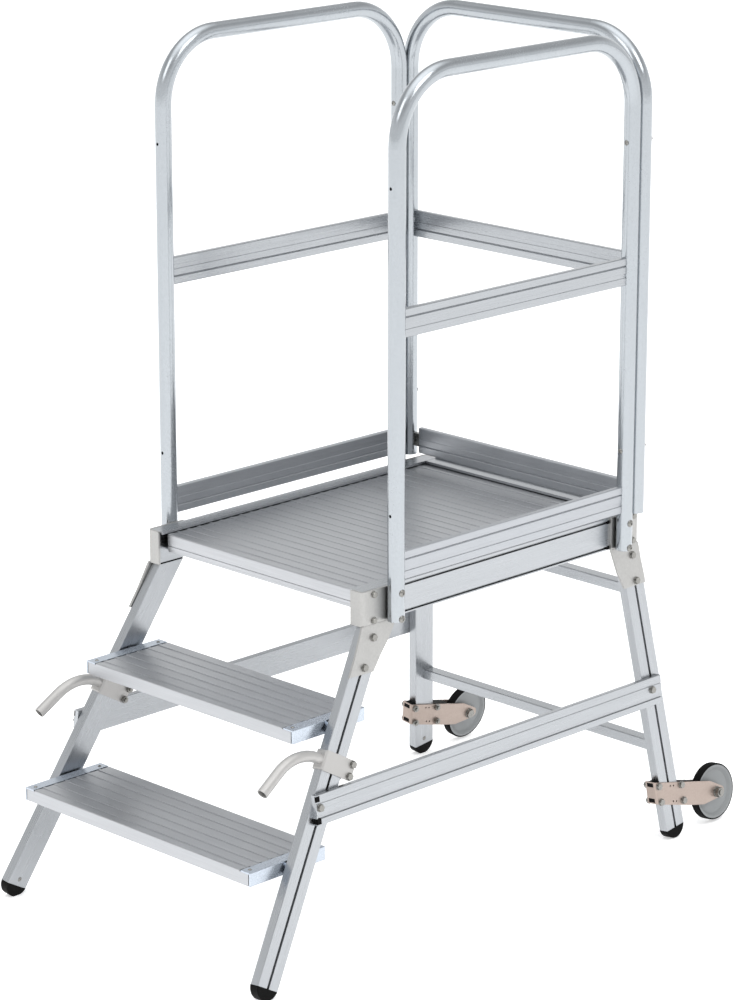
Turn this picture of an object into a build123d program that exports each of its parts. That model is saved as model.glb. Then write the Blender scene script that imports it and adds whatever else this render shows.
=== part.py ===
from build123d import *
import math
import os

# Rolling step platform: a guarded standing platform on four splayed aluminium legs, with two
# treads at the front, lift handles on the front legs and a wheel behind each rear leg.
# Frame: x across, y backwards (the user climbs from the front), z up from the floor.
# Lengths are in millimetres. While it is laid out, y = 0 is the axis of the front posts.

os.makedirs("parts", exist_ok=True)

# ---------------------------------------------------------------- driving dimensions
FIT = 0.05                      # gap left between two pieces that are bolted face to face
HOLE_GAP = 0.2                  # radial gap of a bolt in its hole

# guardrails
TUBE_RADIUS = 16.85
TUBE_WALL = 2.0
RAIL_CENTRE_Z = 1702.0
BEND_RADIUS = 135.0
SIDE_GUARD_X = 323.0
REAR_GUARD_X = 322.7
REAR_POST_Y = 664.6
SPACER_THICKNESS = 1.2          # washers between the side and rear guardrails' tubes
REAR_GUARD_Y = REAR_POST_Y + 2 * TUBE_RADIUS + SPACER_THICKNESS
SIDE_GUARD_FOOT_Z = 650.0
REAR_GUARD_FOOT_Z = 723.0
JOINING_HEIGHTS = (861.0, 1493.0)
MID_RAIL_Z = 1205.0
TOE_BOARD_Z = 730.0
BOARD_THICKNESS = 12.0
BOARD_HEIGHT = 56.0
REAR_TOE_BOARD_HALF = 289.0

# platform
BEAM_OUTER_X = 301.0
BEAM_WIDTH = 21.0
BEAM_TOP = 717.0
BEAM_BOTTOM = 648.0
BEAM_FRONT_Y = -70.0
BEAM_REAR_Y = 726.0
BEAM_GROOVES = (708.0, 654.0)
FLANGE_REACH = 34.0             # width of the beam's top flange, measured from the outer face
FLANGE_THICKNESS = 3.0
LEDGE_REACH = 43.0              # the ledge below carries the planks
LEDGE_Z = 676.0
DECK_TOP = 711.0
DECK_HALF = 265.5
PLANK_DEPTH = 31.9
PLANK_PITCH = 201.0
FIRST_PLANK_Y = 43.5
NOSING_FRONT_Y = -57.0
NOSING_LIP_Z = 674.0
RIB_PITCH = 28.0
RIB_HEIGHT = 1.0
RIB_WIDTH = 7.0

# splayed sides: each side's legs, brace, handle and wheel lie in one plane that leans outwards
SPLAY = 7.0
SIDE_FOOT_X = 381.2             # where the legs' outer face meets the floor
LEG_WIDTH = 55.0
LEG_THICKNESS = 21.0
LEG_WALL = 2.2
LEG_TOP_Z = 645.0
FRONT_LEG_Y = -413.3            # centre line of the front leg at the floor
FRONT_LEG_LEAN = 30.18
REAR_LEG_Y = 789.5
REAR_LEG_LEAN = -7.41
GROOVE_WIDTH = 6.0
GROOVE_DEPTH = 4.5
GROOVE_UNDERCUT = 1.5           # how far the groove widens on each side behind its lips
GROOVE_LIP = 1.5
FOOT_DEPTH = 23.5
FOOT_TONGUE = 32.0
FOOT_FLAT = 0.8                 # the round foot is worn this flat where it stands on the floor

# corner brackets
SHEET = 5.0
FRONT_BRACKET_REAR_Y = 19.6
REAR_BRACKET_FRONT_Y = 645.0
BRACKET_INNER_X = 274.0
BRACKET_BEND = 9.0

# treads
TREAD_HEIGHT = 27.0
TREAD_PITCH_RIBS = 29.0
UPPER_TREAD = {"top": 482.0, "front": -252.0, "rear": -59.0, "half": 297.0}
LOWER_TREAD = {"top": 242.0, "front": -394.0, "rear": -197.0, "half": 327.0}
CAP_WIDTH = 26.0
CAP_SLIT = 2.5                  # open line between a tread's top and its end cap
CAP_SHEET = 3.0

# braces, lift handles and wheels, in the side plane (y along it, v up it)
BRACE_BOTTOM_V = 304.0
BRACE_HEIGHT = 60.0
BRACE_THICKNESS = 12.0
BRACE_FRONT_Y = -243.0
BRACE_REAR_Y = 760.0
CLAMP_SHEET = 4.0
HANDLE_LOW = 452.0              # the handle's clamp, measured up the front leg from the floor
HANDLE_HIGH = 492.0
HANDLE_RADIUS = 11.0
HANDLE_BEND = 100.0
HANDLE_DROOP = 33.0
HANDLE_GRIP = 54.0
AXLE_Y = 922.0
AXLE_V = 67.0
AXLE_RADIUS = 6.0
WHEEL_RADIUS = 60.5
RIM_RADIUS = 57.5
WHEEL_WIDTH = 19.0
RUNNING_GAP = 0.06

# ---------------------------------------------------------------- frames and helpers
SIDE_PLANE = Plane(
    origin=(SIDE_FOOT_X, 0, 0),
    x_dir=(0, 1, 0),
    z_dir=(math.cos(math.radians(SPLAY)), 0, math.sin(math.radians(SPLAY))),
)
BOTTOM = (Align.CENTER, Align.CENTER, Align.MIN)
TOP = (Align.CENTER, Align.CENTER, Align.MAX)


def up_the_side(height):
    """Distance up the leaning side plane that reaches a height above the floor."""
    return height / math.cos(math.radians(SPLAY))


def on_side(shape):
    """Move a shape from the side plane's own axes (y, v, outwards) to the right side."""
    return SIDE_PLANE.location * shape


def on_left(shape):
    """The left-hand twin of a right-hand shape."""
    return mirror(shape, about=Plane.YZ)


def group(shapes):
    """Several separate solids that share one node."""
    return Compound(children=list(shapes))


def both_sides(shapes):
    """Right-hand shapes together with their left-hand twins."""
    return list(shapes) + [on_left(shape) for shape in shapes]


def span_box(x_range, y_range, z_range):
    """Box between two values on each axis."""
    sizes = [high - low for low, high in (x_range, y_range, z_range)]
    corner = Pos(x_range[0], y_range[0], z_range[0])
    return corner * Box(*sizes, align=(Align.MIN, Align.MIN, Align.MIN))


class Leg:
    """A leg's centre line in the side plane: u runs across it, t up along it."""

    def __init__(self, floor_y, lean):
        self.floor_y = floor_y
        self.sine = math.sin(math.radians(lean))
        self.cosine = math.cos(math.radians(lean))
        self.lean = lean

    def point(self, u, t):
        y = self.floor_y + u * self.cosine + t * self.sine
        v = -u * self.sine + t * self.cosine
        return y, v

    def centre_at(self, height):
        """Point (y, v) of the centre line at a height above the floor."""
        v = up_the_side(height)
        return self.floor_y + v * self.sine / self.cosine, v

    def frame(self, u=0.0, t=0.0, outwards=0.0):
        """Location whose x runs across the leg, y up along it and z outwards."""
        y, v = self.point(u, t)
        return Location((y, v, outwards), (0, 0, -self.lean))


FRONT_LEG = Leg(FRONT_LEG_Y, FRONT_LEG_LEAN)
REAR_LEG = Leg(REAR_LEG_Y, REAR_LEG_LEAN)
LEGS = {"front": FRONT_LEG, "rear": REAR_LEG}


def hollow_section(width, depth, wall, grooves):
    """Closed profile, outer face on y = 0; grooves in it are (centre, width, depth, undercut)."""
    outer = Pos(0, depth / 2) * RectangleRounded(width, depth, 1.5)
    cavity = Pos(0, depth / 2) * Rectangle(width - 2 * wall, depth - 2 * wall)
    for centre, groove_width, groove_depth, undercut in grooves:
        full_width = groove_width + 2 * undercut
        outer -= Pos(centre, groove_depth / 2) * Rectangle(groove_width, groove_depth)
        if undercut:
            behind_lips = Rectangle(full_width, groove_depth - GROOVE_LIP, align=(Align.CENTER, Align.MIN))
            outer -= Pos(centre, GROOVE_LIP) * behind_lips
        land_depth = groove_depth + wall
        cavity -= Pos(centre, land_depth / 2) * Rectangle(full_width + 2 * wall, land_depth)
    return outer - cavity


# ---------------------------------------------------------------- fasteners
M8 = 4.0
M6 = 3.0
HEX_FLATS = 13.0
NUT_HEIGHT = 6.5
BEAM_NUT_HEIGHT = 5.0


def hex_bolt(length, radius=M8, flats=HEX_FLATS, head=5.5):
    """Flanged hex bolt along z, with the underside of its head at z = 0."""
    flange = Cylinder(flats * 0.62, 1.4, align=BOTTOM)
    hexagon = extrude(RegularPolygon(flats / 2, 6, major_radius=False), head)
    cap = hexagon & Cylinder(flats * 0.56, head, align=BOTTOM)
    cap = chamfer(cap.edges().group_by(Axis.Z)[-1], 0.5)
    return flange + cap + Cylinder(radius, length, align=TOP)


def hex_nut(radius=M8, flats=HEX_FLATS, height=NUT_HEIGHT):
    """Hex nut on z, from z = 0 downwards."""
    nut = extrude(RegularPolygon(flats / 2, 6, major_radius=False), -height)
    return nut - Cylinder(radius + FIT, 3 * height)


def beam_nut():
    """Small hex nut that fits behind a beam's groove."""
    return hex_nut(M6, 10.0, BEAM_NUT_HEIGHT)


def dome_head(radius, height, socket):
    """Domed head on z = 0 with a hexagon socket."""
    sphere_radius = (radius ** 2 + height ** 2) / (2 * height)
    dome = Pos(0, 0, height - sphere_radius) * Sphere(sphere_radius)
    dome &= Cylinder(radius, height, align=BOTTOM)
    recess = Pos(0, 0, height) * extrude(RegularPolygon(socket, 6), -height * 0.6)
    return dome - recess


# ---------------------------------------------------------------- guardrails
POST_BOLT_HEIGHTS = (708.0, 656.0)


def guard_tube(half_span, foot_z):
    """Inverted U of round tube in the x-z plane, feet at +-half_span."""
    arc_z = RAIL_CENTRE_Z - BEND_RADIUS
    with BuildLine(Plane.XZ) as path:
        left = Line((-half_span, foot_z), (-half_span, arc_z))
        corner = RadiusArc(left @ 1, (BEND_RADIUS - half_span, RAIL_CENTRE_Z), BEND_RADIUS)
        top = Line(corner @ 1, (half_span - BEND_RADIUS, RAIL_CENTRE_Z))
        corner = RadiusArc(top @ 1, (half_span, arc_z), BEND_RADIUS)
        Line(corner @ 1, (half_span, foot_z))
    ring = Circle(TUBE_RADIUS) - Circle(TUBE_RADIUS - TUBE_WALL)
    section = Plane(origin=(-half_span, 0, foot_z), x_dir=(1, 1, 0), z_dir=(0, 0, 1)) * ring
    return sweep(section, path=path.wire())


def side_guardrail():
    """Right-hand guardrail, with the holes for its bolts and for a joining screw in each post."""
    half = REAR_POST_Y / 2
    tube = Pos(SIDE_GUARD_X, half, 0) * Rot(0, 0, 90) * guard_tube(half, SIDE_GUARD_FOOT_Z)
    for y in (0, REAR_POST_Y):
        for z in POST_BOLT_HEIGHTS:
            tube -= Pos(SIDE_GUARD_X, y, z) * Rot(0, 90, 0) * Cylinder(M6 + HOLE_GAP, 60)
        for z in JOINING_HEIGHTS:
            tube -= Pos(SIDE_GUARD_X, y, z) * Rot(90, 0, 0) * Cylinder(M6 + HOLE_GAP, 60)
    return tube


def rear_guardrail():
    """Guardrail across the back, screwed to the side guardrails' rear posts."""
    tube = Pos(0, REAR_GUARD_Y, 0) * guard_tube(REAR_GUARD_X, REAR_GUARD_FOOT_Z)
    for side in (-1, 1):
        for z in JOINING_HEIGHTS:
            hole = Rot(90, 0, 0) * Cylinder(M6 + 3 * HOLE_GAP, 60)
            tube -= Pos(side * SIDE_GUARD_X, REAR_GUARD_Y, z) * hole
    return tube


def post_bolts():
    """Domed bolts through the right side guardrail's posts into the beam, and their nuts."""
    head_x = SIDE_GUARD_X + TUBE_RADIUS - 2
    nut_x = BEAM_OUTER_X - GROOVE_DEPTH - LEG_WALL - FIT
    bolts = []
    nuts = []
    for y in (0, REAR_POST_Y):
        post = Pos(SIDE_GUARD_X, y, 680) * Cylinder(TUBE_RADIUS + FIT, 200)
        for z in POST_BOLT_HEIGHTS:
            saddle = Cylinder(7.5, 2.4, align=BOTTOM) + Pos(0, 0, 2.4) * dome_head(7.5, 3.4, 2.8)
            head = Pos(head_x, y, z) * Rot(0, 90, 0) * saddle
            shank_length = head_x - nut_x + BEAM_NUT_HEIGHT + 5
            shank = Pos(head_x + 3, y, z) * Rot(0, 90, 0) * Cylinder(M6, shank_length, align=TOP)
            bolts.append((head - post) + shank)
            nuts.append(Pos(nut_x, y, z) * Rot(0, 90, 0) * beam_nut())
    return bolts, nuts


def joining_screws():
    """Screws, nuts and spacing washers between the rear guardrail and the right rear post."""
    front = REAR_POST_Y - TUBE_RADIUS - FIT
    back = REAR_GUARD_Y + TUBE_RADIUS + FIT
    screws = []
    for z in JOINING_HEIGHTS:
        head = Pos(SIDE_GUARD_X, front, z) * Rot(90, 0, 0) * dome_head(5.5, 2.6, 2.2)
        shank = Pos(SIDE_GUARD_X, front - 0.5, z) * Rot(90, 0, 0)
        shank *= Cylinder(M6, back - front + 8, align=TOP)
        nut = Pos(SIDE_GUARD_X, back, z) * Rot(90, 0, 0) * hex_nut(M6, 10.0, 5.0)
        spacer = Cylinder(6.0, SPACER_THICKNESS - 2 * FIT) - Cylinder(M6 + HOLE_GAP, 10)
        spacer = Pos(SIDE_GUARD_X, (REAR_POST_Y + REAR_GUARD_Y) / 2, z) * Rot(90, 0, 0) * spacer
        screws.extend([head + shank, nut, spacer])
    return screws


# ---------------------------------------------------------------- mid rails and toe boards
def board_section():
    """Hollow board section, x through its thickness, y up; each face has a V line and a shallow track."""
    half = BOARD_THICKNESS / 2
    board = Pos(0, BOARD_HEIGHT / 2) * RectangleRounded(BOARD_THICKNESS, BOARD_HEIGHT, 2)
    board -= Pos(0, BOARD_HEIGHT / 2) * Rectangle(BOARD_THICKNESS - 7, BOARD_HEIGHT - 8)
    v_line = Polygon((half, -2), (half, 2), (half - 2.4, 0), align=None)
    track = Pos(half, 0) * Rectangle(3, 9)
    outer_face = Pos(0, BOARD_HEIGHT - 16.5) * v_line + Pos(0, 20) * track
    middle = Pos(0, BOARD_HEIGHT / 2)
    inner_face = middle * Rot(0, 0, 180) * middle.inverse() * outer_face
    return board - outer_face - inner_face


def side_board(bottom_z):
    """Right-hand board between the side guardrail's posts, its ends shaped to the round tubes."""
    section = Plane(origin=(SIDE_GUARD_X, 0, bottom_z), x_dir=(1, 0, 0), z_dir=(0, -1, 0))
    board = extrude(section * board_section(), -REAR_POST_Y)
    for y in (0, REAR_POST_Y):
        board -= Pos(SIDE_GUARD_X, y, bottom_z) * Cylinder(TUBE_RADIUS + FIT, 200)
    return board


def rear_board(bottom_z, half_length):
    """Board across the back, with its ends shaped to the posts where it reaches them."""
    section = Plane(origin=(-half_length, REAR_GUARD_Y, bottom_z), x_dir=(0, 1, 0), z_dir=(1, 0, 0))
    board = extrude(section * board_section(), 2 * half_length)
    for side in (-1, 1):
        board -= Pos(side * REAR_GUARD_X, REAR_GUARD_Y, bottom_z) * Cylinder(TUBE_RADIUS + FIT, 200)
    return board


def toe_board_clips():
    """Small clips that carry the rear toe board's ends on the rear guardrail's posts."""
    inner = REAR_TOE_BOARD_HALF + FIT
    outer = REAR_GUARD_X
    middle_z = TOE_BOARD_Z + BOARD_HEIGHT / 2
    clip = span_box((inner, outer), (REAR_GUARD_Y - 5, REAR_GUARD_Y + 5), (middle_z - 14, middle_z + 14))
    clip -= Pos(REAR_GUARD_X, REAR_GUARD_Y, middle_z) * Cylinder(TUBE_RADIUS + FIT, 200)
    return both_sides([clip])


# ---------------------------------------------------------------- platform
def beam_section():
    """Beam section: x is height above the beam's bottom, y is depth inwards from the outer face."""
    height = BEAM_TOP - BEAM_BOTTOM
    grooves = [(z - BEAM_BOTTOM - height / 2, GROOVE_WIDTH - 1, GROOVE_DEPTH, GROOVE_UNDERCUT)
               for z in BEAM_GROOVES]
    box = Pos(height / 2, 0) * hollow_section(height, BEAM_WIDTH, LEG_WALL, grooves)
    flange = Pos(height, BEAM_WIDTH - 3) * Rectangle(
        FLANGE_THICKNESS, FLANGE_REACH - BEAM_WIDTH + 3, align=(Align.MAX, Align.MIN))
    lip = Pos(height, FLANGE_REACH) * Rectangle(
        BEAM_TOP - DECK_TOP - 0.6, 2, align=(Align.MAX, Align.MAX))
    ledge = Pos(LEDGE_Z - BEAM_BOTTOM, BEAM_WIDTH - 1) * Rectangle(
        3, LEDGE_REACH - BEAM_WIDTH + 1, align=(Align.MIN, Align.MIN))
    return box + flange + lip + ledge


def side_beam():
    """Right-hand platform beam, notched for the rear beam and drilled for the bracket and post bolts."""
    section = Plane(
        origin=(BEAM_OUTER_X, BEAM_REAR_Y, BEAM_BOTTOM), x_dir=(0, 0, 1), z_dir=(0, -1, 0))
    beam = extrude(section * beam_section(), BEAM_REAR_Y - BEAM_FRONT_Y)
    inner_x = BEAM_OUTER_X - BEAM_WIDTH
    beam -= span_box(
        (inner_x - 60, inner_x), (BEAM_REAR_Y - BEAM_WIDTH - FIT, BEAM_REAR_Y + 1), (600, BEAM_TOP - 3.05))
    beam -= span_box((inner_x - 60, inner_x), (BEAM_FRONT_Y - 1, NOSING_FRONT_Y + 5), (600, 690))
    holes = [(y, z) for y in (0, REAR_POST_Y) for z in POST_BOLT_HEIGHTS] + BEAM_BOLTS
    for y, z in holes:
        hole = Rot(0, 90, 0) * Cylinder(M6 + HOLE_GAP, 12)
        beam -= Pos(BEAM_OUTER_X - 3, y, z) * hole
    for y, z in beam_plug_places():
        beam -= Pos(BEAM_OUTER_X, y, z) * Box(2 * GROOVE_DEPTH, 7, 7)
    return beam


def rear_beam():
    """Beam across the back between the side beams, with a low upstand, cut away under their flanges."""
    half = BEAM_OUTER_X - BEAM_WIDTH - FIT
    section = Plane(origin=(-half, BEAM_REAR_Y, BEAM_BOTTOM), x_dir=(0, 0, 1), z_dir=(1, 0, 0))
    beam = extrude(section * beam_section(), 2 * half)
    beam += span_box((-DECK_HALF, DECK_HALF), (BEAM_REAR_Y - 5, BEAM_REAR_Y - 2), (BEAM_TOP - 1, BEAM_TOP + 3))
    ledge_y = BEAM_REAR_Y - BEAM_WIDTH
    for side in (-1, 1):
        side_range = sorted((side * DECK_HALF, side * 400))
        beam -= span_box(side_range, (600, 800), (BEAM_TOP - 3 - 2 * FIT, BEAM_TOP + 10))
        beam -= span_box(side_range, (600, ledge_y), (600, 800))
        ledge_range = sorted((side * (BEAM_OUTER_X - LEDGE_REACH - FIT), side * 400))
        beam -= span_box(ledge_range, (600, ledge_y), (600, 700))
    return beam


def plank(front_y, rear_y, rib_places):
    """Hollow ribbed plank lying across the deck."""
    bottom = DECK_TOP - PLANK_DEPTH
    skin = DECK_TOP - RIB_HEIGHT
    front = front_y + FIT
    width = rear_y - FIT - front
    depth = skin - bottom
    section = Pos(front, bottom) * Rectangle(width, depth, align=(Align.MIN, Align.MIN))
    chambers = max(1, round(width / 50))
    bay = (width - 3.0) / chambers
    for index in range(chambers):
        corner = Pos(front + 3.0 + index * bay, bottom + 3)
        section -= corner * Rectangle(bay - 3.0, depth - 6, align=(Align.MIN, Align.MIN))
    for y in rib_places:
        section += Pos(y, skin) * Rectangle(RIB_WIDTH, 2 * RIB_HEIGHT)
    return section


def across(section, half_length):
    """Extrude a (y, z) section along x, from -half_length to +half_length."""
    plane = Plane(origin=(-half_length, 0, 0), x_dir=(0, 1, 0), z_dir=(1, 0, 0))
    return extrude(plane * section, 2 * half_length)


def deck_planks():
    """The three full planks of the deck."""
    planks = []
    for index in range(3):
        front = FIRST_PLANK_Y + index * PLANK_PITCH
        ribs = [front + PLANK_PITCH / 2 + k * RIB_PITCH for k in range(-3, 4)]
        planks.append(across(plank(front, front + PLANK_PITCH, ribs), DECK_HALF))
    return planks


def deck_filler():
    """Narrow plank between the last full plank and the rear beam's flange."""
    front = FIRST_PLANK_Y + 3 * PLANK_PITCH
    rear = BEAM_REAR_Y - FLANGE_REACH - 1
    return across(plank(front, rear, [(front + rear) / 2]), DECK_HALF)


def deck_nosing():
    """Front plank with a smooth rounded edge and a lip that hangs below it."""
    ribs = [FIRST_PLANK_Y - 16.5 - k * RIB_PITCH for k in range(3)]
    section = plank(NOSING_FRONT_Y, FIRST_PLANK_Y, ribs)
    edge = Pos(NOSING_FRONT_Y, DECK_TOP) * Rectangle(14, 2, align=(Align.MIN, Align.MAX))
    section += edge
    section -= Pos(NOSING_FRONT_Y, DECK_TOP) * (Rectangle(6, 6) - Pos(3, -3) * Circle(3))
    section += Pos(NOSING_FRONT_Y + 1, NOSING_LIP_Z) * Rectangle(2.5, 12, align=(Align.MIN, Align.MIN))
    section -= Pos(NOSING_FRONT_Y, 686.5) * Rectangle(2.4, 1.4)
    return across(section, DECK_HALF)


# ---------------------------------------------------------------- corner brackets
BEAM_BOLTS = [(-43.5, 708.0), (-43.5, 656.0), (712.0, 708.0), (712.0, 656.0)]
GUSSET_TOP_Z = 648.3
GUSSET_BOLT_HEIGHTS = {"front": (623.0, 570.5), "rear": (625.0, 570.0)}


def gusset_outline(end):
    """Outline of a bracket's leaning part as points (y, height)."""
    if end == "front":
        return [(-75, GUSSET_TOP_Z), (FRONT_BRACKET_REAR_Y, GUSSET_TOP_Z), (-8, 612), (-34, 585),
                (-56, 558), (-120, 559.5), (-99, 597)]
    return [(REAR_BRACKET_FRONT_Y, GUSSET_TOP_Z), (729, GUSSET_TOP_Z), (734, 610), (741, 575),
            (742, 561), (678, 560), (661, 594)]


def corner_bracket(end):
    """Right-hand bracket: wraps the platform's corner, then leans out with the leg as a gusset."""
    inner = BEAM_OUTER_X + FIT
    outer = inner + SHEET
    if end == "front":
        face_y = BEAM_FRONT_Y - FIT - SHEET
        y_range = (face_y, FRONT_BRACKET_REAR_Y)
        pocket_range = (face_y + SHEET, FRONT_BRACKET_REAR_Y + 50)
    else:
        face_y = BEAM_REAR_Y + FIT + SHEET
        y_range = (REAR_BRACKET_FRONT_Y, face_y)
        pocket_range = (REAR_BRACKET_FRONT_Y - 50, face_y - SHEET)
    plate = span_box((BRACKET_INNER_X, outer), y_range, (BEAM_BOTTOM, BEAM_TOP))
    plate -= span_box((0, inner), pocket_range, (600, 800))
    bend_edge = plate.edges().filter_by(Axis.Z).sort_by_distance((outer, face_y, 680))[0]
    plate = fillet(bend_edge, BRACKET_BEND)
    outline = Polygon(*[(y, up_the_side(z)) for y, z in gusset_outline(end)], align=None)
    gusset = on_side(extrude(Pos(0, 0, FIT) * outline, SHEET, dir=(0, 0, 1)))
    bracket = plate + gusset
    bracket -= Pos(0, 0, BEAM_TOP) * Box(2000, 3000, 20, align=BOTTOM)
    for y, z in BEAM_BOLTS + [(0, z) for z in POST_BOLT_HEIGHTS] + [
            (REAR_POST_Y, z) for z in POST_BOLT_HEIGHTS]:
        bracket -= Pos(outer, y, z) * Rot(0, 90, 0) * Cylinder(M6 + HOLE_GAP, 30)
    for z in GUSSET_BOLT_HEIGHTS[end]:
        y, v = LEGS[end].centre_at(z)
        bracket -= on_side(Pos(y, v, 0) * Cylinder(M8 + HOLE_GAP, 30))
    return bracket


def bracket_bolts():
    """Hex bolts of the right-hand corner brackets, and the nuts inside the beam and the legs."""
    bolts = []
    nuts = []
    inside = GROOVE_DEPTH + LEG_WALL + FIT
    length = inside + SHEET + NUT_HEIGHT + 3
    for y, z in BEAM_BOLTS:
        turn = Rot(0, 90, 0)
        bolt = hex_bolt(length, M6, 11.0, 5.0)
        bolts.append(Pos(BEAM_OUTER_X + SHEET + 2 * FIT, y, z) * turn * bolt)
        nuts.append(Pos(BEAM_OUTER_X - inside, y, z) * turn * beam_nut())
    for end, leg in LEGS.items():
        for z in GUSSET_BOLT_HEIGHTS[end]:
            y, v = leg.centre_at(z)
            bolts.append(on_side(Pos(y, v, SHEET + 2 * FIT) * hex_bolt(length)))
            nuts.append(on_side(Pos(y, v, -inside) * Rot(0, 0, -leg.lean) * hex_nut()))
    return bolts, nuts


# ---------------------------------------------------------------- legs and feet
BRACE_BOLT_V = 338.0
BRACE_BOLT_OFFSET = -14.5


def foot_cut(leg):
    """Distance up the leg, from the floor line, of the square cut that its foot plugs."""
    lowest = LEG_THICKNESS * math.tan(math.radians(SPLAY))
    return (FOOT_DEPTH + lowest - FOOT_FLAT) / leg.cosine


def leg_profile(leg):
    """Hollow leg: square cut at the foot, level cut under the platform, drilled for its bolts."""
    start = foot_cut(leg)
    y, v = leg.point(0, start)
    plane = Plane(origin=(y, v, 0), x_dir=(leg.cosine, -leg.sine, 0), z_dir=(leg.sine, leg.cosine, 0))
    groove = (0, GROOVE_WIDTH, GROOVE_DEPTH, GROOVE_UNDERCUT)
    section = hollow_section(LEG_WIDTH, LEG_THICKNESS, LEG_WALL, [groove])
    return extrude(plane * section, 900)


def brace_bolt_place(leg):
    """Point (y, v) where the brace's bolt enters the leg."""
    y = leg.floor_y + BRACE_BOLT_V * leg.sine / leg.cosine
    return y + BRACE_BOLT_OFFSET / leg.cosine, BRACE_BOLT_V


def leg(end):
    """Right-hand front or rear leg."""
    line = LEGS[end]
    body = leg_profile(line)
    holes = [line.centre_at(z) for z in GUSSET_BOLT_HEIGHTS[end]] + [brace_bolt_place(line)]
    for y, v in holes:
        body -= Pos(y, v, 0) * Cylinder(M8 + HOLE_GAP, 14)
    rivet = line.frame(0, foot_cut(line) + 14, -LEG_THICKNESS)
    body -= rivet * Cylinder(2.6, 8)
    body = on_side(body)
    body -= Pos(0, 0, LEG_TOP_Z) * Box(3000, 3000, 2000, align=BOTTOM)
    if end == "front":
        for place in tread_bolt_places():
            body -= Pos(*place) * Rot(0, 90, 0) * Cylinder(M6 + HOLE_GAP, 30)
    return body


def foot(end):
    """Moulded half-round foot with a tongue inside the leg."""
    line = LEGS[end]
    radius = ((LEG_WIDTH / 2) ** 2 + FOOT_DEPTH ** 2) / (2 * FOOT_DEPTH)
    disc = Pos(0, radius - FOOT_DEPTH, 0) * Cylinder(radius, LEG_THICKNESS)
    disc &= Box(LEG_WIDTH, 2 * FOOT_DEPTH, LEG_THICKNESS, align=(Align.CENTER, Align.MAX, Align.CENTER))
    disc = fillet(disc.faces().sort_by(Axis.Z)[-1].edges().filter_by(GeomType.CIRCLE), 2)
    clear = LEG_WALL + 0.15
    tongue_width = LEG_WIDTH - 2 * clear
    tongue_depth = LEG_THICKNESS - 2 * clear - GROOVE_DEPTH
    tongue = Pos(0, FOOT_TONGUE / 2 - 1, -GROOVE_DEPTH / 2) * Box(tongue_width, FOOT_TONGUE, tongue_depth)
    tongue -= Pos(0, 14, -LEG_THICKNESS / 2) * Cylinder(2.6, 20)
    place = line.frame(0, foot_cut(line) - FIT, -LEG_THICKNESS / 2)
    return on_side(place * (disc + tongue)) - Box(3000, 3000, 100, align=TOP)


def foot_rivets():
    """Dome rivets through the legs' inner walls into the feet."""
    rivets = []
    for line in LEGS.values():
        head = Pos(0, 0, FIT) * dome_head(5.0, 2.2, 0.8)
        rivet = head + Pos(0, 0, FIT) * Cylinder(2.4, 9, align=TOP)
        place = line.frame(0, foot_cut(line) + 14, -LEG_THICKNESS) * Rot(180, 0, 0)
        rivets.append(on_side(place * rivet))
    return rivets


def leg_top_plug(end):
    """Black cover that closes a leg's level-cut top under the beam."""
    line = LEGS[end]
    y, v = line.centre_at(LEG_TOP_Z)
    flare = math.cos(math.radians(line.lean))
    inner_x = SIDE_FOOT_X - math.tan(math.radians(SPLAY)) * LEG_TOP_Z - LEG_THICKNESS / math.cos(
        math.radians(SPLAY))
    length = LEG_WIDTH / flare
    return span_box(
        (inner_x, inner_x + LEG_THICKNESS - 0.6), (y - length / 2, y + length / 2),
        (LEG_TOP_Z + FIT, BEAM_BOTTOM - FIT))


# ---------------------------------------------------------------- treads
def leg_inner_x(height):
    """Where the legs' inner face is at a height above the floor."""
    lean = math.radians(SPLAY)
    return SIDE_FOOT_X - math.tan(lean) * height - LEG_THICKNESS / math.cos(lean)


def tread_body(spec):
    """Hollow ribbed tread, its top stopping short of the end caps' flanges."""
    bottom = spec["top"] - TREAD_HEIGHT
    skin = spec["top"] - RIB_HEIGHT
    depth = spec["rear"] - spec["front"]
    section = Pos(spec["front"], bottom) * Rectangle(depth, skin - bottom, align=(Align.MIN, Align.MIN))
    bays = 4
    bay = (depth - 2.5) / bays
    for index in range(bays):
        corner = Pos(spec["front"] + 2.5 + index * bay, bottom + 2.5)
        section -= corner * Rectangle(bay - 2.5, skin - bottom - 6.5, align=(Align.MIN, Align.MIN))
    for index in range(6):
        place = spec["front"] + 25 + index * TREAD_PITCH_RIBS
        section += Pos(place, skin) * Rectangle(RIB_WIDTH, 2 * RIB_HEIGHT)
    section += Pos(spec["front"], spec["top"]) * Rectangle(12, 2, align=(Align.MIN, Align.MAX))
    section -= Pos(spec["front"], spec["top"]) * (Rectangle(4, 4) - Pos(2, -2) * Circle(2))
    body = across(section, spec["half"] - CAP_SHEET - 2.0)
    y, v = FRONT_LEG.centre_at(spec["top"] - 14)
    for side in (-1, 1):
        x_range = sorted((side * (spec["half"] - CAP_WIDTH - CAP_SLIT), side * 400))
        body -= span_box(x_range, (-900, 900), (spec["top"] - CAP_SHEET - FIT, spec["top"] + 5))
        x_range = sorted((side * (spec["half"] - 14), side * 400))
        body -= span_box(x_range, (y - 30, y + 30), (bottom + 2.5, skin - 4))
    for x, y in cap_screw_places(spec):
        for side in (-1, 1):
            body -= Pos(side * x, y, spec["top"]) * Cylinder(2.2, 14)
    return body


def cap_screw_places(spec):
    """Plan positions (x, y) of the screws in a right-hand end cap's flange."""
    return [(spec["half"] - 15, spec["front"] + 14), (spec["half"] - 15, spec["rear"] - 14)]


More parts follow.
